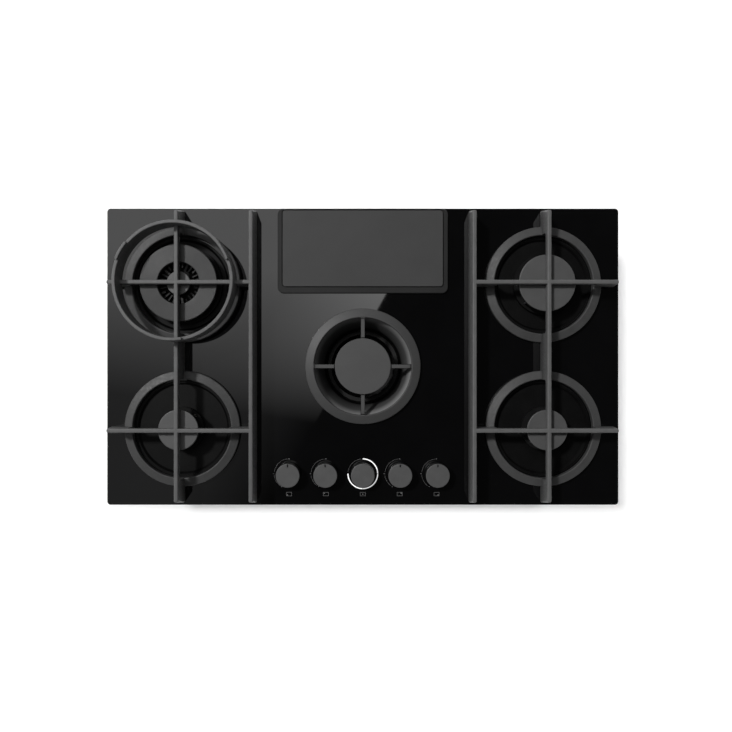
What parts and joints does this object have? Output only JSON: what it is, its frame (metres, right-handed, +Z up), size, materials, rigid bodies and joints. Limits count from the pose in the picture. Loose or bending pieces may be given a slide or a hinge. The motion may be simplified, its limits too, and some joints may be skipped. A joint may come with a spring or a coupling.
{
  "type": "gas cooktop",
  "caption": "Black glass gas cooktop with cast iron pan supports, a wok ring, a round downdraft extractor inlet in the middle, a lid over odour filters, and front knobs.",
  "frame": {"origin": "middle of the flat bottom of the extractor housing, straight under the centre of the glass", "axes": "+X to the right as the cook sees it, +Y to the rear, +Z up"},
  "size_m": [0.88, 0.51, 0.294],
  "materials": {
    "glass_black": "polished black glass, opaque",
    "cast_iron": "matte black enamelled cast iron",
    "cap_enamel": "satin black enamel",
    "crown_alloy": "cast, blackened by heat",
    "bowl_enamel": "gloss black enamel on steel",
    "cup_alloy": "cast, dark",
    "inlet_metal": "satin black powder coat",
    "funnel_steel": "drawn sheet",
    "filter_steel": "expanded sheet",
    "lid_metal": "satin black",
    "knob_metal": "dark anodised",
    "knob_seal_rubber": "soft matte",
    "pad_rubber": "soft matte",
    "seal_foam": "closed-cell foam",
    "light_guide": "backlit acrylic, glows white",
    "box_steel": "black coated steel sheet",
    "housing_steel": "zinc coated sheet",
    "fan_plastic": "moulded",
    "motor_metal": "die cast",
    "carbon_block": "activated carbon cassette",
    "brass": "machined",
    "steel_bright": "turned",
    "rail_aluminium": "drawn tube",
    "electrode_ceramic": "glazed insulator",
    "box_plastic": "moulded case",
    "screw_zinc": "zinc plated"
  },
  "bodies": {
    "cooktop": {"glass_panel": "glass_black", "worktop_seal": "seal_foam", "light_ring": "light_guide", "burner_box": "box_steel", "burner_bowls": "bowl_enamel", "burner_cups": "cup_alloy", "spark_electrodes": "electrode_ceramic", "thermocouples": "steel_bright", "intake_funnel": "funnel_steel", "filter_lid_frame": "lid_metal", "extractor_housing": "housing_steel", "duct_collar": "fan_plastic", "mains_gland": "fan_plastic", "scroll_housing": "fan_plastic", "fan_motor": "motor_metal", "knob_seals": "knob_seal_rubber", "tap_bodies": "brass", "fan_encoder": "box_plastic", "gas_rail": "rail_aluminium", "gas_inlet_elbow": "brass", "burner_pipes": "rail_aluminium", "control_box": "box_plastic", "ignition_module": "box_plastic", "clamp_brackets": "steel_bright", "case_screws": "screw_zinc"},
    "left_support": {"left_pan_support": "cast_iron", "left_support_pads": "pad_rubber"},
    "right_support": {"right_pan_support": "cast_iron", "right_support_pads": "pad_rubber"},
    "wok_ring": {"wok_ring": "cast_iron"},
    "inner_cap": {"wok_inner_cap": "cap_enamel"},
    "grille": {"inlet_grille": "inlet_metal"},
    "grease_filter": {"grease_filter": "filter_steel"},
    "lid": {"filter_lid": "lid_metal"},
    "odour_filters": {"odour_filters": "carbon_block"},
    "fan_knob": {"fan_knob": "knob_metal", "fan_spindle": "steel_bright"},
    "impeller": {"impeller": "fan_plastic"},
    "rear_left_crown": {"rear_left_burner_crown": "crown_alloy"},
    "rear_left_cap": {"rear_left_burner_cap": "cap_enamel"},
    "rear_left_tap_plunger": {"rear_left_tap_plunger": "brass"},
    "rear_left_knob": {"rear_left_knob": "knob_metal", "rear_left_spindle": "steel_bright"},
    "rear_right_crown": {"rear_right_burner_crown": "crown_alloy"},
    "rear_right_cap": {"rear_right_burner_cap": "cap_enamel"},
    "rear_right_tap_plunger": {"rear_right_tap_plunger": "brass"},
    "rear_right_knob": {"rear_right_knob": "knob_metal", "rear_right_spindle": "steel_bright"},
    "front_left_crown": {"front_left_burner_crown": "crown_alloy"},
    "front_left_cap": {"front_left_burner_cap": "cap_enamel"},
    "front_left_tap_plunger": {"front_left_tap_plunger": "brass"},
    "front_left_knob": {"front_left_knob": "knob_metal", "front_left_spindle": "steel_bright"},
    "front_right_crown": {"front_right_burner_crown": "crown_alloy"},
    "front_right_cap": {"front_right_burner_cap": "cap_enamel"},
    "front_right_tap_plunger": {"front_right_tap_plunger": "brass"},
    "front_right_knob": {"front_right_knob": "knob_metal", "front_right_spindle": "steel_bright"}
  },
  "joints": [
    {"name": "left_support_lift", "type": "slide", "parent": "cooktop", "child": "left_support", "axis": [0, 0, 1], "range_m": [0, 0.15]},
    {"name": "right_support_lift", "type": "slide", "parent": "cooktop", "child": "right_support", "axis": [0, 0, 1], "range_m": [0, 0.15]},
    {"name": "wok_ring_lift", "type": "slide", "parent": "left_support", "child": "wok_ring", "axis": [0, 0, 1], "range_m": [0, 0.06]},
    {"name": "rear_left_crown_lift", "type": "slide", "parent": "cooktop", "child": "rear_left_crown", "axis": [0, 0, 1], "range_m": [0, 0.03]},
    {"name": "rear_left_cap_lift", "type": "slide", "parent": "rear_left_crown", "child": "rear_left_cap", "axis": [0, 0, 1], "range_m": [0, 0.03]},
    {"name": "rear_right_crown_lift", "type": "slide", "parent": "cooktop", "child": "rear_right_crown", "axis": [0, 0, 1], "range_m": [0, 0.03]},
    {"name": "rear_right_cap_lift", "type": "slide", "parent": "rear_right_crown", "child": "rear_right_cap", "axis": [0, 0, 1], "range_m": [0, 0.03]},
    {"name": "front_left_crown_lift", "type": "slide", "parent": "cooktop", "child": "front_left_crown", "axis": [0, 0, 1], "range_m": [0, 0.03]},
    {"name": "front_left_cap_lift", "type": "slide", "parent": "front_left_crown", "child": "front_left_cap", "axis": [0, 0, 1], "range_m": [0, 0.03]},
    {"name": "front_right_crown_lift", "type": "slide", "parent": "cooktop", "child": "front_right_crown", "axis": [0, 0, 1], "range_m": [0, 0.03]},
    {"name": "front_right_cap_lift", "type": "slide", "parent": "front_right_crown", "child": "front_right_cap", "axis": [0, 0, 1], "range_m": [0, 0.03]},
    {"name": "inner_cap_lift", "type": "slide", "parent": "rear_left_crown", "child": "inner_cap", "axis": [0, 0, 1], "range_m": [0, 0.03]},
    {"name": "grille_lift", "type": "slide", "parent": "cooktop", "child": "grille", "axis": [0, 0, 1], "range_m": [0, 0.225]},
    {"name": "grease_filter_lift", "type": "slide", "parent": "cooktop", "child": "grease_filter", "axis": [0, 0, 1], "range_m": [0, 0.18]},
    {"name": "lid_lift", "type": "slide", "parent": "cooktop", "child": "lid", "axis": [0, 0, 1], "range_m": [0, 0.28]},
    {"name": "odour_filter_lift", "type": "slide", "parent": "cooktop", "child": "odour_filters", "axis": [0, 0, 1], "range_m": [0, 0.224]},
    {"name": "rear_left_knob_push", "type": "slide", "parent": "cooktop", "child": "rear_left_tap_plunger", "axis": [0, 0, -1], "range_m": [0, 0.0035], "stiffness_N_per_m": 900, "springref_m": -0.002},
    {"name": "rear_left_knob_turn", "type": "hinge", "parent": "rear_left_tap_plunger", "child": "rear_left_knob", "pos_m": [-0.0635, -0.2015, 0.239], "axis": [0, 0, 1], "range_deg": [0, 205]},
    {"name": "rear_right_knob_push", "type": "slide", "parent": "cooktop", "child": "rear_right_tap_plunger", "axis": [0, 0, -1], "range_m": [0, 0.0035], "stiffness_N_per_m": 900, "springref_m": -0.002},
    {"name": "rear_right_knob_turn", "type": "hinge", "parent": "rear_right_tap_plunger", "child": "rear_right_knob", "pos_m": [0.0635, -0.2015, 0.239], "axis": [0, 0, 1], "range_deg": [0, 205]},
    {"name": "front_left_knob_push", "type": "slide", "parent": "cooktop", "child": "front_left_tap_plunger", "axis": [0, 0, -1], "range_m": [0, 0.0035], "stiffness_N_per_m": 900, "springref_m": -0.002},
    {"name": "front_left_knob_turn", "type": "hinge", "parent": "front_left_tap_plunger", "child": "front_left_knob", "pos_m": [-0.127, -0.2015, 0.239], "axis": [0, 0, 1], "range_deg": [0, 205]},
    {"name": "front_right_knob_push", "type": "slide", "parent": "cooktop", "child": "front_right_tap_plunger", "axis": [0, 0, -1], "range_m": [0, 0.0035], "stiffness_N_per_m": 900, "springref_m": -0.002},
    {"name": "front_right_knob_turn", "type": "hinge", "parent": "front_right_tap_plunger", "child": "front_right_knob", "pos_m": [0.127, -0.2015, 0.239], "axis": [0, 0, 1], "range_deg": [0, 205]},
    {"name": "fan_knob_turn", "type": "hinge", "parent": "cooktop", "child": "fan_knob", "pos_m": [0, -0.2015, 0.239], "axis": [0, 0, 1], "range_deg": [-270, 0]},
    {"name": "impeller_spin", "type": "hinge", "parent": "cooktop", "child": "impeller", "pos_m": [0.195, 0.05, 0.046], "axis": [0, 0, 1], "continuous": true}
  ],
  "couplings": [
    {"joint": "rear_left_crown_lift", "follows": "left_support_lift", "ratio": 0.2},
    {"joint": "rear_left_cap_lift", "follows": "left_support_lift", "ratio": 0.2},
    {"joint": "rear_right_crown_lift", "follows": "right_support_lift", "ratio": 0.2},
    {"joint": "rear_right_cap_lift", "follows": "right_support_lift", "ratio": 0.2},
    {"joint": "front_left_crown_lift", "follows": "left_support_lift", "ratio": 0.2},
    {"joint": "front_left_cap_lift", "follows": "left_support_lift", "ratio": 0.2},
    {"joint": "front_right_crown_lift", "follows": "right_support_lift", "ratio": 0.2},
    {"joint": "front_right_cap_lift", "follows": "right_support_lift", "ratio": 0.2},
    {"joint": "inner_cap_lift", "follows": "left_support_lift", "ratio": 0.2},
    {"joint": "grease_filter_lift", "follows": "grille_lift", "ratio": 0.8},
    {"joint": "odour_filter_lift", "follows": "lid_lift", "ratio": 0.8}
  ]
}
